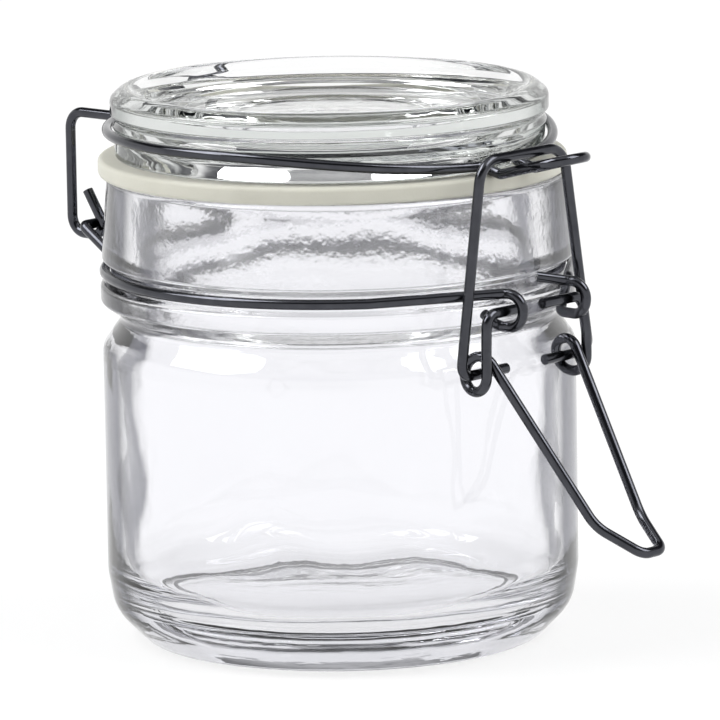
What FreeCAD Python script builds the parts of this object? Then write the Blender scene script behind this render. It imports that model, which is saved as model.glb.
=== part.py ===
import FreeCAD, Part
import math
import os

from FreeCAD import Vector

# Clip-top glass canister. Z is up, the origin is the middle of the foot ring,
# +X points to the latch, -X to the hinge. Millimetres and degrees.

# glass body
bodyR = 41.0
wallT = 3.2
footR = 34.5
footInnerR = 29.5
footRecess = 1.2
floorZ = 6.2
shoulderZ = 51.5
waistR = 37.3
waistZ = 56.6
beadR = 41.2
beadZ = (59.4, 62.3)
grooveR = 39.4
grooveZ = (63.0, 65.6)
neckR = 40.9
neckZ = 66.6
rimR = 39.8
rimZ = 81.0
mouthR = 34.8
# half section as (radius, height, corner radius), from the middle of the foot round to the floor
jarProfile = (
    (0.0, footRecess, 0), (footInnerR, footRecess, 0.8), (footInnerR + 1.4, 0.0, 0.7),
    (footR, 0.0, 2.2), (bodyR - 1.1, 5.4, 7.0), (bodyR, 12.0, 12.0),
    (bodyR, shoulderZ, 4.0), (waistR, waistZ, 1.3), (beadR, beadZ[0], 0.9),
    (beadR, beadZ[1], 0.9), (grooveR, grooveZ[0], 0.4), (grooveR, grooveZ[1], 0.3),
    (neckR, neckZ, 0.8), (rimR, rimZ, 1.0), (mouthR, rimZ, 1.4),
    (mouthR, waistZ + 1.0, 7.0), (bodyR - wallT, shoulderZ - 2.0, 7.0),
    (bodyR - wallT, floorZ + 0.6, 9.0), (0.0, floorZ, 0),
)

# seal ring
sealR = (34.6, 40.5)
sealGap = 0.05
sealT = 3.1
sealX = -1.0
sealZ = (rimZ + sealGap, rimZ + sealGap + sealT)
sealProfile = (
    (sealR[0], sealZ[0], 0.3), (sealR[1], sealZ[0], 0.8), (sealR[1], sealZ[1], 0.8),
    (sealR[0], sealZ[1], 0.3),
)

# glass lid
lidX = -1.5
plugR = (28.5, 33.9)
plugZ = 81.8
undersideZ = 86.2
lidWallR = 37.2
beltR = 37.5
beltZ = 89.6
notchR = 36.8
notchZ = 90.7
flangeR = 37.9
flangeZ = (91.7, 94.3)
rimTopZ = 96.7
rimCrestR = 35.0
lidSeatZ = sealZ[1] + 0.05
lidProfile = (
    (0.0, undersideZ, 0), (plugR[0] - 4.0, undersideZ, 2.5), (plugR[0], plugZ, 1.2),
    (plugR[1], plugZ, 0.8), (plugR[1], lidSeatZ, 0.3), (lidWallR, lidSeatZ, 0.6),
    (lidWallR, beltZ - 1.0, 0.6), (beltR, beltZ, 0.4), (notchR, notchZ, 0.4),
    (flangeR, flangeZ[0], 0.7), (flangeR, flangeZ[1], 1.4), (rimCrestR, rimTopZ, 2.2),
    (31.8, 94.0, 0.5), (30.4, 92.9, 0.5), (26.2, 92.5, 0.5), (25.4, 91.9, 0.5),
    (17.6, 91.6, 0.5), (16.9, 91.1, 0.5), (0.0, 91.1, 0),
)

# wire of the closure
wireR = 0.9
lidRingR = 38.45
lidRingZ = 88.8
lidRingFlatX = 4.0
lidRingDip = 0.0030
lidRingSteps = 16

# hinge at the back
hingeX = -44.9
hingeZ = 69.3
hingeY = 14.0
hookR = 1.95
hookEnd = 33.0
hookTail = 5.6
armX = -50.2
armCornerR = 3.0
armRingR = 2.4
loopHalf = 2.9
loopCornerR = 1.2

# catch nose in front
noseY = 4.4
noseLead = 2.6
noseRoot = (41.2, 84.6)
noseMid = (47.6, 86.3)
noseTip = (54.6, 88.0)
noseBends = (0, 1.2, 1.2, 8.0, 4.0, 0)

# neck wire
neckRingR = 40.4
neckRingZ = 64.4
leaveDeg = 41.0
neckLead = 4.0
eyeY = 8.2
eyeR = 2.85
eyeBendR = eyeR - 0.02
eyeBack = 0.8
eyeDrift = 0.6
strandX = (43.6, 43.0)
strandDrift = (0.4, 0.3)
leftEnd = (43.2, -11.4, 61.9)
freeEnd = (42.1, 3.4, 66.2)
neckStep = (39.4, 14.9, 64.3)
rightBends = (0, 1.6, eyeBendR, eyeBendR, 1.8, 3.0, 8.0, 0)
leftBends = (0, 8.0, 1.6, eyeBendR, eyeBendR, 1.5, 0)

# lever, with its pivot in the eyes and a coil on each arm
pivotX = 46.2
pivotZ = 62.4
pivotEndY = (-4.1, 2.0)
leverTopY = 12.3
leverArmY = 13.0
leverY = -1.9
coilX = 43.7
coilZ = 52.0
coilR = 2.9
coilPitch = 2.0
coilBends = 7
coilBendR = coilR - 0.06
armFootZ = 4.0
armFootR = 6.0
leverCornerR = 2.4
handleDeg = 34.6
handleLength = 31.9
handleHalf = 5.9
handleBendR = 9.0
tipDeg = 60.0
tipLength = 8.6
tipHalf = 2.5
tipCornerR = 2.3

# bail
crossX = 43.6
crossZ = 87.95
crossHalf = 10.6
crossCornerR = 4.6
legFootHalf = 16.6
bailCornerR = 1.9
bailStubY = 5.0
bailY = -1.5


def outline(points, radii, closed):
    """Straight runs through the points, with an arc of the given radius at each corner."""
    count = len(points)
    cuts = []
    for i, point in enumerate(points):
        radius = radii[i]
        if radius <= 0 or (not closed and i in (0, count - 1)):
            cuts.append((point, None, point))
            continue
        back = (points[i - 1] - point).normalize()
        ahead = (points[(i + 1) % count] - point).normalize()
        half = back.getAngle(ahead) / 2.0
        reach = radius / math.tan(half)
        middle = (back + ahead).normalize()
        depth = radius / math.sin(half) - radius
        cuts.append((point + back * reach, point + middle * depth, point + ahead * reach))
    edges = []
    for i in range(count if closed else count - 1):
        start = cuts[i][2]
        end = cuts[(i + 1) % count][0]
        if (end - start).Length > 1e-6:
            edges.append(Part.LineSegment(start, end).toShape())
        bend = cuts[(i + 1) % count]
        if bend[1] is not None:
            edges.append(Part.Arc(*bend).toShape())
    return edges


def turned(profile, centreX):
    """A solid of revolution from (radius, height, corner radius) points."""
    points = [Vector(r, 0, z) for r, z, _ in profile]
    wire = Part.Wire(Part.__sortEdges__(outline(points, [c for _, _, c in profile], True)))
    solid = Part.Face(wire).revolve(Vector(0, 0, 0), Vector(0, 0, 1), 360)
    solid.translate(Vector(centreX, 0, 0))
    return solid


def swept(edges):
    """A round wire of the closure's gauge along the edges."""
    path = Part.Wire(edges)
    first = path.OrderedEdges[0]
    start = first.valueAt(first.FirstParameter)
    heading = first.tangentAt(first.FirstParameter)
    if first.Orientation == "Reversed":
        start = first.valueAt(first.LastParameter)
        heading = first.tangentAt(first.LastParameter) * -1
    section = Part.Wire(Part.Circle(start, heading, wireR).toShape())
    solid = path.makePipeShell([section], True, True)
    return solid if solid.Volume > 0 else solid.reversed()


def bent(points, radii):
    return outline([Vector(*p) for p in points], radii, False)


def onRing(radius, degrees, z):
    angle = math.radians(degrees)
    return Vector(radius * math.cos(angle), radius * math.sin(angle), z)


def ringArc(radius, startDeg, endDeg, z):
    middle = (startDeg + endDeg) / 2.0
    ends = [onRing(radius, d, z) for d in (startDeg, middle, endDeg)]
    return Part.Arc(*ends).toShape()


def mirroredY(edges):
    """The same edges on the other side, in the opposite order."""
    plane = (Vector(0, 0, 0), Vector(0, 1, 0))
    return [edge.mirror(*plane) for edge in reversed(edges)]


def makeJar():
    return turned(jarProfile, 0.0)


def makeLid():
    return turned(lidProfile, lidX)


def makeSeal():
    return turned(sealProfile, sealX)


def lidRingPoint(degrees):
    """The sprung ring lies level at the back and dips towards the nose."""
    point = onRing(lidRingR, degrees, lidRingZ) + Vector(lidX, 0, 0)
    point.z -= lidRingDip * max(0.0, point.x - lidRingFlatX) ** 2
    return point


def lidRingHalf():
    """From the back arm at -Y round to the foot of the nose."""
    backDeg = -180.0 + math.degrees(math.asin((hingeY + armCornerR) / lidRingR))
    frontDeg = -math.degrees(math.asin((noseY + noseLead) / lidRingR))
    step = (frontDeg - backDeg) / lidRingSteps
    degrees = [backDeg + step * i for i in range(lidRingSteps + 1)]
    curve = Part.BSplineCurve()
    curve.interpolate([lidRingPoint(d) for d in degrees])
    return curve.toShape()


def lidArm(ring):
    """The hook round the hinge loop, the upright and the bend on to the ring, at -Y."""
    start = ring.valueAt(ring.FirstParameter)
    along = ring.tangentAt(ring.FirstParameter)
    end = math.radians(hookEnd)
    centre = Vector(hingeX, -hingeY, hingeZ)
    hookTop = centre + Vector(math.cos(end), 0, math.sin(end)) * hookR
    tailEnd = hookTop + Vector(-math.sin(end), 0, math.cos(end)) * hookTail
    side = centre + Vector(hookR * math.cos(-end), 0, -hookR * math.sin(end))
    bottom = centre + Vector(0, 0, -hookR)
    edges = [Part.LineSegment(tailEnd, hookTop).toShape(), Part.Arc(hookTop, side, bottom).toShape()]
    corner = start - along * ((start.y + hingeY) / along.y)
    points = [bottom, Vector(armX, -hingeY, bottom.z), Vector(armX, -hingeY, start.z), corner, start]
    return edges + outline(points, [0, armCornerR, armCornerR, armRingR, 0], False)


def lidNose(ring):
    """From the end of the ring out to the middle of the nose's tip, at -Y."""
    start = ring.valueAt(ring.LastParameter)
    along = ring.tangentAt(ring.LastParameter)
    corner = start + along * ((-noseY - start.y) / along.y)
    root = Vector(noseRoot[0], -noseY, noseRoot[1])
    points = [
        start, corner, root, Vector(noseMid[0], -noseY, noseMid[1]),
        Vector(noseTip[0], -noseY, noseTip[1]), Vector(noseTip[0], 0, noseTip[1]),
    ]
    return outline(points, noseBends, False)


def makeLidWire():
    ring = lidRingHalf()
    half = lidArm(ring) + [ring] + lidNose(ring)
    return swept(half + mirroredY(half))


def neckOn(degrees):
    return onRing(neckRingR, degrees, neckRingZ)


def neckCorner(degrees):
    """Where the tangents on both sides of this angle meet, so that a bend leaves the ring smoothly."""
    return onRing(neckRingR / math.cos(math.radians(neckLead)), degrees, neckRingZ)


def neckAngle(y):
    return 180.0 - math.degrees(math.asin(y / neckRingR))


def hingeLoop():
    """The raised loop at the back, at +Y, from the front side to the back side."""
    outerDeg = neckAngle(hingeY + loopHalf + wireR)
    innerDeg = neckAngle(hingeY - loopHalf - wireR)
    points = [
        neckOn(outerDeg - neckLead), neckCorner(outerDeg),
        Vector(hingeX, hingeY + loopHalf, hingeZ), Vector(hingeX, hingeY - loopHalf, hingeZ),
        neckCorner(innerDeg), neckOn(innerDeg + neckLead),
    ]
    edges = outline(points, [0] + [loopCornerR] * 4 + [0], False)
    return edges, outerDeg - neckLead, innerDeg + neckLead


def rightEye():
    """From the free end over the lever's pivot and back under it to the neck, at +Y."""
    top = pivotZ + eyeR
    low = pivotZ - eyeR
    out = pivotX + eyeR
    points = [
        Vector(*freeEnd), Vector(pivotX - eyeBack, eyeY - eyeDrift, top), Vector(out, eyeY, top),
        Vector(out, eyeY, low), Vector(strandX[1], eyeY + strandDrift[1], low), Vector(*neckStep),
        neckCorner(leaveDeg), neckOn(leaveDeg + neckLead),
    ]
    return outline(points, rightBends, False)


def leftEye():
    """From the neck over the pivot at -Y and back under it, to the other free end."""
    top = pivotZ + eyeR
    low = pivotZ - eyeR
    out = pivotX + eyeR
    points = [
        neckOn(-leaveDeg - neckLead), neckCorner(-leaveDeg),
        Vector(pivotX - eyeBack, -eyeY - eyeDrift, top), Vector(out, -eyeY, top), Vector(out, -eyeY, low),
        Vector(strandX[0], -eyeY - strandDrift[0], low), Vector(*leftEnd),
    ]
    return outline(points, leftBends, False)


def makeNeckWire():
    loop, loopStart, loopEnd = hingeLoop()
    edges = rightEye()
    edges.append(ringArc(neckRingR, leaveDeg + neckLead, loopStart, neckRingZ))
    edges += loop
    edges.append(ringArc(neckRingR, loopEnd, 360.0 - loopEnd, neckRingZ))
    edges += mirroredY(loop)
    edges.append(ringArc(neckRingR, 360.0 - loopStart, 360.0 - leaveDeg - neckLead, neckRingZ))
    return swept(edges + leftEye())


def makeBail():
    """The legs' feet turn in through the lever's coils; the bail sits off centre in its play."""
    points = [
        (coilX, -bailStubY, coilZ), (coilX, -legFootHalf, coilZ), (crossX, -crossHalf, crossZ),
        (crossX, 0, crossZ),
    ]
    half = bent(points, [0, bailCornerR, crossCornerR, 0])
    bail = swept(half + mirroredY(half))
    bail.translate(Vector(0, bailY, 0))
    return bail


def coilCorners():
    """One turn round the bail's stub, drifting inwards by the coil's pitch, at -Y."""
    sweep = 360.0 - handleDeg
    step = sweep / coilBends
    reach = coilR / math.cos(math.radians(step / 2.0))
    corners = []
    for i in range(coilBends):
        angle = -math.radians(step * (i + 0.5))
        shift = coilPitch * (1 - math.cos(math.pi * (i + 0.5) / coilBends)) / 2.0
        corners.append(Vector(coilX + reach * math.cos(angle), shift - leverArmY,
                              coilZ + reach * math.sin(angle)))
    return corners


def leaning(degrees, length):
    """A run of this length that hangs at this many degrees outwards from straight down."""
    angle = math.radians(degrees)
    return Vector(math.sin(angle), 0, -math.cos(angle)) * length


def leverHalf(stubEnd):
    """Pivot stub, arm, coil, handle and half of its turned-out tip, at -Y."""
    lean = math.radians(handleDeg)
    leave = Vector(coilX + coilR * math.cos(lean), 0, coilZ + coilR * math.sin(lean))
    bend = leave + leaning(handleDeg, handleLength)
    tip = bend + leaning(tipDeg, tipLength)
    points = [
        Vector(pivotX, stubEnd, pivotZ), Vector(pivotX, -leverTopY, pivotZ),
        Vector(coilX + coilR, -leverArmY, coilZ + armFootZ),
    ]
    points += coilCorners()
    points += [bend - Vector(0, handleHalf, 0), tip - Vector(0, tipHalf, 0), tip]
    radii = [0, leverCornerR, armFootR] + [coilBendR] * coilBends
    return outline(points, radii + [handleBendR, tipCornerR, 0], False)


def makeLever():
    """The two stubs differ in length; the lever sits off centre in its play."""
    lever = swept(leverHalf(pivotEndY[0]) + mirroredY(leverHalf(-pivotEndY[1])))
    lever.translate(Vector(0, leverY, 0))
    return lever


makers = {
    "glass_jar": makeJar,
    "glass_lid": makeLid,
    "seal_ring": makeSeal,
    "lid_wire": makeLidWire,
    "neck_wire": makeNeckWire,
    "latch_bail": makeBail,
    "latch_lever": makeLever,
}

os.makedirs("parts", exist_ok=True)
for name, maker in makers.items():
    shape = maker()
    box = shape.BoundBox
    print(name, shape.isValid(), len(shape.Solids), round(shape.Volume),
          [round(v, 1) for v in (box.XMin, box.XMax, box.YMin, box.YMax, box.ZMin, box.ZMax)])
    shape.exportStep("parts/" + name + ".step")
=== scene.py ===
import math

import bmesh
import bpy
from mathutils import Matrix, Vector


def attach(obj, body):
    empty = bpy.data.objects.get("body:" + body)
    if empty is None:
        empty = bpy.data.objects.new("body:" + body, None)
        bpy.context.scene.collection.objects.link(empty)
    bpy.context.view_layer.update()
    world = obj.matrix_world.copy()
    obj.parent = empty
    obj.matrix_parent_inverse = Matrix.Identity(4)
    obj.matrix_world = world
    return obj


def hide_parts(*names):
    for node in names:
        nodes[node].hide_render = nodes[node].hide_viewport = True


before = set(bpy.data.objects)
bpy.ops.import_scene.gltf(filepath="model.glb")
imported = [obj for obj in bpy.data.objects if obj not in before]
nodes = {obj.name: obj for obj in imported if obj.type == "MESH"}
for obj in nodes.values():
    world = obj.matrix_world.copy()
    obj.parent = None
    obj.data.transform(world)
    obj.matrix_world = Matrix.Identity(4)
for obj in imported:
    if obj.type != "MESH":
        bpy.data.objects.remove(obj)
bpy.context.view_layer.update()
mm = 0.001
print("frame loaded:", ", ".join(sorted(nodes)))


# sRGB hex to the linear RGBA that sockets take
def linear(hexColour):
    parts = [int(hexColour[i:i + 2], 16) / 255 for i in (1, 3, 5)]
    return [c / 12.92 if c <= 0.04045 else ((c + 0.055) / 1.055) ** 2.4 for c in parts] + [1.0]


def addNode(tree, kind, settings=None, inputs=None, links=None):
    made = tree.nodes.new(kind)
    for name, value in (settings or {}).items():
        setattr(made, name, value)
    for socket, value in (inputs or {}).items():
        made.inputs[socket].default_value = value
    for socket, source in (links or {}).items():
        tree.links.new(source, made.inputs[socket])
    return made


# a material with only its output, and its tree
def newMaterial(name):
    material = bpy.data.materials.new(name)
    material.use_nodes = True
    material.node_tree.nodes.clear()
    return material, material.node_tree


# object coordinates in metres, stretched so that a pattern can be longer one way
def objectPlace(tree, stretch=(1, 1, 1)):
    place = addNode(tree, "ShaderNodeTexCoord")
    return addNode(tree, "ShaderNodeMapping", inputs={"Scale": stretch},
                   links={"Vector": place.outputs["Object"]}).outputs["Vector"]


# corner points (radius, height, fillet) in mm to a dense outline, fillets and all
def roundedProfile(profile, arcSteps, longestRun):
    count = len(profile)
    dense = []
    for i, (r, z, fillet) in enumerate(profile):
        here = Vector((r, z))
        if fillet <= 0:
            dense.append(here)
            continue
        back = (Vector(profile[i - 1][:2]) - here).normalized()
        ahead = (Vector(profile[(i + 1) % count][:2]) - here).normalized()
        half = back.angle(ahead) / 2
        centre = here + (back + ahead).normalized() * (fillet / math.sin(half))
        first = here + back * (fillet / math.tan(half)) - centre
        turn = math.pi - 2 * half
        if first.x * back.y - first.y * back.x > 0:
            turn = -turn
        for step in range(arcSteps + 1):
            angle = turn * step / arcSteps
            dense.append(centre + Vector((
                first.x * math.cos(angle) - first.y * math.sin(angle),
                first.x * math.sin(angle) + first.y * math.cos(angle))))
    outline = []
    for here, following in zip(dense, dense[1:]):
        run = (following - here).length
        pieces = max(1, math.ceil(run / longestRun))
        outline += [here.lerp(following, k / pieces) for k in range(pieces)]
    return outline + [dense[-1]]


# a smooth turned body from its half section; wobble gives each point a small shift in mm
def turnedPiece(name, profile, values, wobble=None):
    outline = roundedProfile(profile, values["arcSteps"], values["longestRun"])
    segments = values["segments"]
    mesh = bmesh.new()
    rings = []
    for point in outline:
        if point.x < 1e-6:
            rings.append([mesh.verts.new((values["centreX"] * mm, 0, point.y * mm))])
            continue
        ring = []
        for k in range(segments):
            angle = 2 * math.pi * k / segments
            dr, dz = wobble(angle, point.x, point.y) if wobble else (0, 0)
            r = (point.x + dr) * mm
            ring.append(mesh.verts.new((
                values["centreX"] * mm + r * math.cos(angle), r * math.sin(angle),
                (point.y + dz) * mm)))
        rings.append(ring)
    closed = len(rings[0]) > 1
    pairs = list(zip(rings, rings[1:])) + ([(rings[-1], rings[0])] if closed else [])
    for low, high in pairs:
        for k in range(segments):
            corners = [low[k % len(low)], low[(k + 1) % len(low)],
                       high[(k + 1) % len(high)], high[k % len(high)]]
            mesh.faces.new(list(dict.fromkeys(corners)))
    bmesh.ops.recalc_face_normals(mesh, faces=mesh.faces)
    data = bpy.data.meshes.new(name)
    mesh.to_mesh(data)
    mesh.free()
    data.shade_smooth()
    piece = bpy.data.objects.new(name, data)
    bpy.context.collection.objects.link(piece)
    return piece


# ior of soda-lime glass; faces whose normal's height passes these marks count as level
glass = {"ior": 1.52, "levelFrom": (0.35, 0.85), "waveDetail": 2.0, "waveRough": 0.45}


# Soda-lime glass, blown or pressed in an iron mould: clear and wavy, with painted shade that greys
# the colour where the surface is seen edge-on, standing in for dark surroundings seen in the
# glass.
def glassMaterial(name, values):
    material, tree = newMaterial(name)
    place = objectPlace(tree)
    waves = addNode(tree, "ShaderNodeTexNoise",
                    inputs={"Scale": 1 / (values["waveMm"] * mm), "Detail": glass["waveDetail"],
                            "Roughness": glass["waveRough"]},
                    links={"Vector": objectPlace(tree, values["waveStretch"])})
    chill = addNode(tree, "ShaderNodeTexNoise",
                    inputs={"Scale": 1 / (values["chillMm"] * mm), "Detail": 1.0},
                    links={"Vector": place})
    height = addNode(tree, "ShaderNodeSeparateXYZ", links={0: place})
    rising = addNode(tree, "ShaderNodeMapRange", {"interpolation_type": "SMOOTHSTEP"},
                     inputs={"From Min": values["roughFrom"][0] * mm,
                             "From Max": values["roughFrom"][1] * mm},
                     links={"Value": height.outputs["Z"]})
    strength = addNode(tree, "ShaderNodeMapRange",
                       inputs={"To Min": values["chillShare"][0],
                               "To Max": values["chillShare"][1]},
                       links={"Value": rising.outputs["Result"]})
    broad = addNode(tree, "ShaderNodeBump",
                    inputs={"Strength": 1.0, "Distance": values["waveHeightMm"] * mm},
                    links={"Height": waves.outputs["Fac"]})
    fine = addNode(tree, "ShaderNodeBump", inputs={"Distance": values["chillHeightMm"] * mm},
                   links={"Height": chill.outputs["Fac"], "Normal": broad.outputs["Normal"],
                          "Strength": strength.outputs["Result"]})
    haze = addNode(tree, "ShaderNodeMapRange",
                   inputs={"To Min": values["polish"][0], "To Max": values["polish"][1]},
                   links={"Value": rising.outputs["Result"]})
    # painted shade: the colour darkens where the surface is seen edge-on, and more so higher up
    # through the lift, in place of dark surroundings seen in the glass
    facing = addNode(tree, "ShaderNodeLayerWeight", inputs={"Blend": 0.5},
                     links={"Normal": broad.outputs["Normal"]})
    lift = addNode(tree, "ShaderNodeMath", {"operation": "MULTIPLY_ADD"},
                   inputs={1: values["paintedEdgeShadeLift"]},
                   links={0: rising.outputs["Result"], 2: facing.outputs["Facing"]})
    paintedEdgeShadeMask = addNode(tree, "ShaderNodeMapRange", {"interpolation_type": "SMOOTHSTEP"},
                   inputs={"From Min": values["paintedEdgeShadeFrom"], "From Max": values["paintedEdgeShadeTo"]},
                   links={"Value": lift.outputs[0]})
    surface = addNode(tree, "ShaderNodeNewGeometry")
    lean = addNode(tree, "ShaderNodeSeparateXYZ", links={0: surface.outputs["Normal"]})
    level = addNode(tree, "ShaderNodeMath", {"operation": "ABSOLUTE"},
                    links={0: lean.outputs["Z"]})
    # walls carry the painted edge shade, level faces such as the lid's top stay clear
    wall = addNode(tree, "ShaderNodeMapRange",
                   inputs={"From Min": glass["levelFrom"][0],
                           "From Max": glass["levelFrom"][1], "To Min": 1.0, "To Max": 0.0},
                   links={"Value": level.outputs[0]})
    share = addNode(tree, "ShaderNodeMath", {"operation": "MULTIPLY"},
                    links={0: paintedEdgeShadeMask.outputs["Result"], 1: wall.outputs["Result"]})
    # the clear colour with the painted edge shade mixed in
    tint = addNode(tree, "ShaderNodeMix", {"data_type": "RGBA"},
                   inputs={6: linear(values["colour"]), 7: linear(values["paintedEdgeShade"])},
                   links={0: share.outputs[0]})
    shader = addNode(tree, "ShaderNodeBsdfPrincipled",
                     inputs={"IOR": glass["ior"], "Transmission Weight": 1.0},
                     links={"Base Color": tint.outputs[2], "Roughness": haze.outputs["Result"],
                            "Normal": fine.outputs["Normal"]})
    depth = addNode(tree, "ShaderNodeVolumeAbsorption",
                    inputs={"Color": linear(values["depthColour"]), "Density": values["density"]})
    addNode(tree, "ShaderNodeOutputMaterial",
            links={"Surface": shader.outputs["BSDF"], "Volume": depth.outputs["Volume"]})
    return material


jar = {
    "segments": 288, "arcSteps": 7, "longestRun": 1.6, "centreX": 0.0,
    "wallWave": 0.22, "outerWave": 0.05,
    "innerR": 37.9, "innerZ": 6.0, "neckR": 35.5, "neckZ": 52.0,
    # slow waves as lobes round the jar, mm of height per radian, phase, share
    "waves": ((3, 9, 0.0, 1.0), (5, -6, 1.3, 1.0), (11, 4, 0.4, 0.6)),
    "knurls": 144, "knurlHeight": 0.25, "knurlR": (31.0, 33.8), "knurlTop": 1.5,
    "colour": "#fafafc", "depthColour": "#b4b6c2", "density": 6.0,
    # the edge colour and its marks are painted shade: a dark grey band where the wall is seen
    # edge-on
    "paintedEdgeShade": "#3c3d46", "paintedEdgeShadeFrom": 0.54, "paintedEdgeShadeTo": 0.68, "paintedEdgeShadeLift": 0.06,
    "waveMm": 9.0, "waveStretch": (1, 1, 0.6), "waveHeightMm": 0.10,
    "chillMm": 1.1, "chillHeightMm": 0.022, "roughFrom": (52.0, 60.0), "chillShare": (0.12, 1.0),
    "polish": (0.0, 0.10),
}
jarProfile = [
    (0.0, 1.2, 0), (29.5, 1.2, 0.8), (30.9, 0.0, 0.7), (34.5, 0.0, 2.2), (39.9, 5.4, 7.0),
    (41.0, 12.0, 12.0), (41.0, 51.5, 4.0), (37.3, 56.6, 1.3), (41.2, 59.4, 0.9),
    (41.2, 62.3, 0.9), (39.4, 63.0, 0.4), (39.4, 65.6, 0.3), (40.9, 66.6, 0.8),
    (39.8, 81.0, 1.0), (34.8, 81.0, 1.4), (34.8, 57.6, 7.0), (37.8, 49.5, 7.0),
    (37.8, 6.8, 9.0), (0.0, 6.2, 0),
]


# mould and blowing marks: the inside runs in slow waves, the foot is knurled
def jarWobble(angle, r, z):
    if jar["knurlR"][0] < r < jar["knurlR"][1] and z < jar["knurlTop"]:
        return 0, jar["knurlHeight"] * (0.5 - 0.5 * math.cos(jar["knurls"] * angle))
    slow = sum(share * math.sin(lobes * angle + z / rise + phase)
               for lobes, rise, phase, share in jar["waves"])
    slow /= sum(share for *_, share in jar["waves"])
    outerNeck = r > jar["neckR"] and z > jar["neckZ"]
    if r < jar["innerR"] and z > jar["innerZ"] and not outerNeck:
        return jar["wallWave"] * slow, 0
    return -jar["outerWave"] * (0.5 + 0.5 * slow), 0


glassJar = turnedPiece("glassJar", jarProfile, jar, jarWobble)
glassJar.data.materials.append(glassMaterial("blownSodaLimeGlass", jar))
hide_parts("glass_jar")
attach(glassJar, "jar")
print("jar turned")

lid = {
    "segments": 256, "arcSteps": 6, "longestRun": 1.4, "centreX": -1.5,
    "colour": "#ffffff", "depthColour": "#a8b3ac", "density": 8.0,
    # the edge colour and its marks are painted shade: a grey band where the walls are seen edge-on
    "paintedEdgeShade": "#8a918e", "paintedEdgeShadeFrom": 0.5, "paintedEdgeShadeTo": 0.75, "paintedEdgeShadeLift": 0.0,
    "waveMm": 7.0, "waveStretch": (1, 1, 3.0), "waveHeightMm": 0.03,
    "chillMm": 2.6, "chillHeightMm": 0.006, "roughFrom": (80.0, 90.0), "chillShare": (1.0, 1.0),
    "polish": (0.0, 0.0),
}
lidProfile = [
    (0.0, 86.2, 0), (24.5, 86.2, 2.5), (28.5, 81.8, 1.2), (33.9, 81.8, 0.8),
    (33.9, 84.2, 0.3), (37.2, 84.2, 0.6), (37.2, 88.6, 0.6), (37.5, 89.6, 0.4),
    (36.8, 90.7, 0.4), (37.9, 91.7, 0.7), (37.9, 94.3, 1.4), (35.0, 96.7, 2.2),
    (31.8, 94.0, 0.5), (30.4, 92.9, 0.5), (26.2, 92.5, 0.5), (25.4, 91.9, 0.5),
    (17.6, 91.6, 0.5), (16.9, 91.1, 0.5), (0.0, 91.1, 0),
]
glassLid = turnedPiece("glassLid", lidProfile, lid)
glassLid.data.materials.append(glassMaterial("pressedSodaLimeGlass", lid))
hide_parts("glass_lid")
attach(glassLid, "lid")
print("lid turned")


seal = {
    "segments": 240, "arcSteps": 5, "longestRun": 1.2, "centreX": -1.0,
    "colour": "#c2c1b6", "shade": "#b2b1a6", "grainMm": 0.5,
    "grainHeightMm": 0.05, "grainShare": 0.6, "cloudMm": 9.0, "rough": (0.42, 0.58), "ior": 1.41,
    "soak": 0.35, "soakMm": 1.5, "soakRadius": (1.0, 1.0, 0.9),
}
sealProfile = [(34.6, 81.05, 0.3), (40.5, 81.05, 0.8), (40.5, 84.15, 0.8), (34.6, 84.15, 0.3)]


# Moulded silicone: matte, milky, light soaks a little way in.
def sealMaterial():
    material, tree = newMaterial("mouldedSilicone")
    cloud = addNode(tree, "ShaderNodeTexNoise",
                    inputs={"Scale": 1 / (seal["cloudMm"] * mm), "Detail": 3.0},
                    links={"Vector": objectPlace(tree)})
    grain = addNode(tree, "ShaderNodeTexNoise",
                    inputs={"Scale": 1 / (seal["grainMm"] * mm), "Detail": 2.0},
                    links={"Vector": objectPlace(tree)})
    colour = addNode(tree, "ShaderNodeMix", {"data_type": "RGBA"},
                     inputs={6: linear(seal["colour"]), 7: linear(seal["shade"])},
                     links={0: cloud.outputs["Fac"]})
    bump = addNode(tree, "ShaderNodeBump",
                   inputs={"Strength": seal["grainShare"],
                           "Distance": seal["grainHeightMm"] * mm},
                   links={"Height": grain.outputs["Fac"]})
    rough = addNode(tree, "ShaderNodeMapRange",
                    inputs={"To Min": seal["rough"][0], "To Max": seal["rough"][1]},
                    links={"Value": cloud.outputs["Fac"]})
    shader = addNode(tree, "ShaderNodeBsdfPrincipled",
                     inputs={"IOR": seal["ior"], "Subsurface Weight": seal["soak"],
                             "Subsurface Scale": seal["soakMm"] * mm,
                             "Subsurface Radius": seal["soakRadius"]},
                     links={"Base Color": colour.outputs[2], "Normal": bump.outputs["Normal"],
                            "Roughness": rough.outputs["Result"]})
    addNode(tree, "ShaderNodeOutputMaterial", links={"Surface": shader.outputs["BSDF"]})
    return material


sealRing = turnedPiece("sealRing", sealProfile, seal)
sealRing.data.materials.append(sealMaterial())
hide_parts("seal_ring")
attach(sealRing, "lid")
print("seal turned")


plating = {
    "colour": "#55565b", "spotColour": "#3c3d42", "spotMm": 2.5, "spotFrom": (0.3, 0.7),
    "dieMm": 0.35, "dieHeightMm": 0.012, "dieShare": 0.5,
}
wires = {
    "lid_wire": {"name": "nickelPlatedRingWire", "rough": (0.07, 0.16)},
    "neck_wire": {"name": "nickelPlatedNeckWire", "rough": (0.12, 0.24)},
    "latch_bail": {"name": "nickelPlatedBailWire", "rough": (0.12, 0.26)},
    "latch_lever": {"name": "nickelPlatedLeverWire", "rough": (0.10, 0.24)},
}


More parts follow.
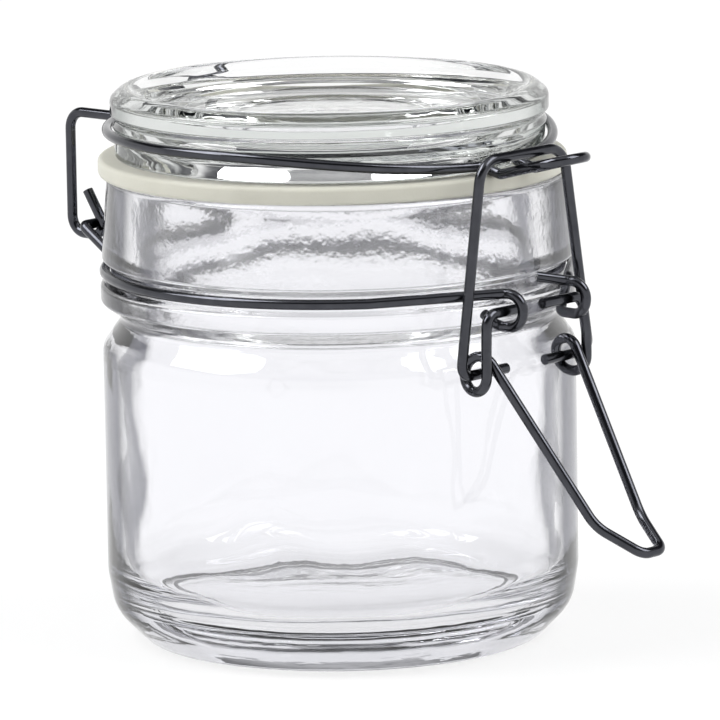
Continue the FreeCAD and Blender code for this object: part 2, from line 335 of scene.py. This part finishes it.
# Drawn spring steel, barrel plated: bright with faint die lines and dull spots.
def wireMaterial(values):
    material, tree = newMaterial(values["name"])
    place = objectPlace(tree)
    spots = addNode(tree, "ShaderNodeTexNoise",
                    inputs={"Scale": 1 / (plating["spotMm"] * mm), "Detail": 4.0},
                    links={"Vector": place})
    dies = addNode(tree, "ShaderNodeTexNoise",
                   inputs={"Scale": 1 / (plating["dieMm"] * mm), "Detail": 2.0},
                   links={"Vector": place})
    bump = addNode(tree, "ShaderNodeBump",
                   inputs={"Strength": plating["dieShare"],
                           "Distance": plating["dieHeightMm"] * mm},
                   links={"Height": dies.outputs["Fac"]})
    rough = addNode(tree, "ShaderNodeMapRange",
                    inputs={"From Min": plating["spotFrom"][0], "From Max": plating["spotFrom"][1],
                            "To Min": values["rough"][0], "To Max": values["rough"][1]},
                    links={"Value": spots.outputs["Fac"]})
    tint = addNode(tree, "ShaderNodeMix", {"data_type": "RGBA"},
                   inputs={6: linear(plating["colour"]), 7: linear(plating["spotColour"])},
                   links={0: spots.outputs["Fac"]})
    shader = addNode(tree, "ShaderNodeBsdfPrincipled", inputs={"Metallic": 1.0},
                     links={"Base Color": tint.outputs[2], "Roughness": rough.outputs["Result"],
                            "Normal": bump.outputs["Normal"]})
    addNode(tree, "ShaderNodeOutputMaterial", links={"Surface": shader.outputs["BSDF"]})
    return material


for nodeName, values in wires.items():
    wire = nodes[nodeName]
    wire.data.materials.clear()
    wire.data.materials.append(wireMaterial(values))
print("wires plated")


studio = {
    "target": (0.0, 0.0, 48 * mm), "azimuth": 42.0, "elevation": 10.17, "distance": 1.3,
    "roll": 0.93, "lens": 374.9, "aimRight": 3.47 * mm, "aimUp": -0.31 * mm,
    "sensor": 36.0, "floorSize": 12.0, "floorZ": -0.05 * mm, "floorColour": "#f3f3f3",
    "glowShare": 0.8, "ceiling": "#4a4b50", "horizon": "#ffffff",
    "duskFrom": (0.34, 0.55), "roofFrom": (0.80, 0.92), "roofShare": 0.12,
    "bounces": 24, "glossyBounces": 8,
}
# place in m, side in m, watts
softboxes = {
    "keySoftbox": ((-1.1, -1.2, 2.1), 1.6, 62),
    "fillSoftbox": ((1.5, 0.8, 2.1), 1.6, 44),
}


# 1 for rays that show the backdrop: camera, glossy and transmission
def isBackdropRay(tree):
    path = addNode(tree, "ShaderNodeLightPath")
    first = addNode(tree, "ShaderNodeMath", {"operation": "MAXIMUM"},
                    links={0: path.outputs["Is Camera Ray"], 1: path.outputs["Is Glossy Ray"]})
    return addNode(tree, "ShaderNodeMath", {"operation": "MAXIMUM"},
                   links={0: first.outputs[0], 1: path.outputs["Is Transmission Ray"]}).outputs[0]


def makeFloor():
    bpy.ops.mesh.primitive_plane_add(size=studio["floorSize"], location=(0, 0, studio["floorZ"]))
    floor = bpy.context.object
    floor.name = "floor"
    material, tree = newMaterial("whiteAcrylicSheet")
    diffuse = addNode(tree, "ShaderNodeBsdfDiffuse",
                      inputs={"Color": linear(studio["floorColour"])})
    glow = addNode(tree, "ShaderNodeEmission", inputs={"Strength": 1.0})
    share = addNode(tree, "ShaderNodeMath", {"operation": "MULTIPLY"},
                    inputs={1: studio["glowShare"]},
                    links={0: isBackdropRay(tree)})
    mixed = addNode(tree, "ShaderNodeMixShader",
                    links={0: share.outputs[0], 1: diffuse.outputs[0], 2: glow.outputs[0]})
    addNode(tree, "ShaderNodeOutputMaterial", links={"Surface": mixed.outputs[0]})
    floor.data.materials.append(material)


# a white band round the horizon, a dark band above it and a pale roof
def makeWorld():
    world = bpy.data.worlds.new("studio")
    bpy.context.scene.world = world
    world.use_nodes = True
    tree = world.node_tree
    tree.nodes.clear()
    place = addNode(tree, "ShaderNodeTexCoord")
    parts = addNode(tree, "ShaderNodeSeparateXYZ", links={0: place.outputs["Generated"]})
    dusk = addNode(tree, "ShaderNodeMapRange", {"interpolation_type": "SMOOTHSTEP"},
                   inputs={"From Min": studio["duskFrom"][0], "From Max": studio["duskFrom"][1]},
                   links={"Value": parts.outputs["Z"]})
    roof = addNode(tree, "ShaderNodeMapRange", {"interpolation_type": "SMOOTHSTEP"},
                   inputs={"From Min": studio["roofFrom"][0], "From Max": studio["roofFrom"][1],
                           "To Min": 1.0, "To Max": studio["roofShare"]},
                   links={"Value": parts.outputs["Z"]})
    dim = addNode(tree, "ShaderNodeMath", {"operation": "MULTIPLY"},
                  links={0: dusk.outputs["Result"], 1: roof.outputs["Result"]})
    room = addNode(tree, "ShaderNodeMix", {"data_type": "RGBA"},
                   inputs={6: linear(studio["horizon"]), 7: linear(studio["ceiling"])},
                   links={0: dim.outputs[0]})
    back = addNode(tree, "ShaderNodeBackground", links={"Color": room.outputs[2]})
    addNode(tree, "ShaderNodeOutputWorld", links={"Surface": back.outputs[0]})


# a softbox that looks at the object
def makeLight(name, place, side, power):
    data = bpy.data.lights.new(name, "AREA")
    data.size = side
    data.energy = power
    light = bpy.data.objects.new(name, data)
    light.location = place
    aim = Vector(studio["target"]) - Vector(place)
    light.rotation_euler = aim.to_track_quat("-Z", "Y").to_euler()
    light.visible_camera = False
    bpy.context.collection.objects.link(light)


def makeCamera():
    a = math.radians(studio["azimuth"])
    e = math.radians(studio["elevation"])
    out = Vector((math.sin(a) * math.cos(e), -math.cos(a) * math.cos(e), math.sin(e)))
    right = Vector((math.cos(a), math.sin(a), 0))
    up = out.cross(right)
    aim = Vector(studio["target"]) + right * studio["aimRight"] + up * studio["aimUp"]
    data = bpy.data.cameras.new("camera")
    data.lens = studio["lens"]
    data.sensor_width = studio["sensor"]
    camera = bpy.data.objects.new("camera", data)
    look = Matrix((right, up, out)).transposed()
    turn = look @ Matrix.Rotation(math.radians(-studio["roll"]), 3, "Z")
    camera.matrix_world = Matrix.Translation(aim + out * studio["distance"]) @ turn.to_4x4()
    bpy.context.collection.objects.link(camera)
    bpy.context.scene.camera = camera


scene = bpy.context.scene
makeFloor()
makeWorld()
makeCamera()
for name, (place, side, power) in softboxes.items():
    makeLight(name, place, side, power)
scene.view_settings.view_transform = "Standard"
scene.cycles.max_bounces = studio["bounces"]
scene.cycles.transmission_bounces = studio["bounces"]
scene.cycles.transparent_max_bounces = studio["bounces"]
scene.cycles.glossy_bounces = studio["glossyBounces"]
print("studio set")
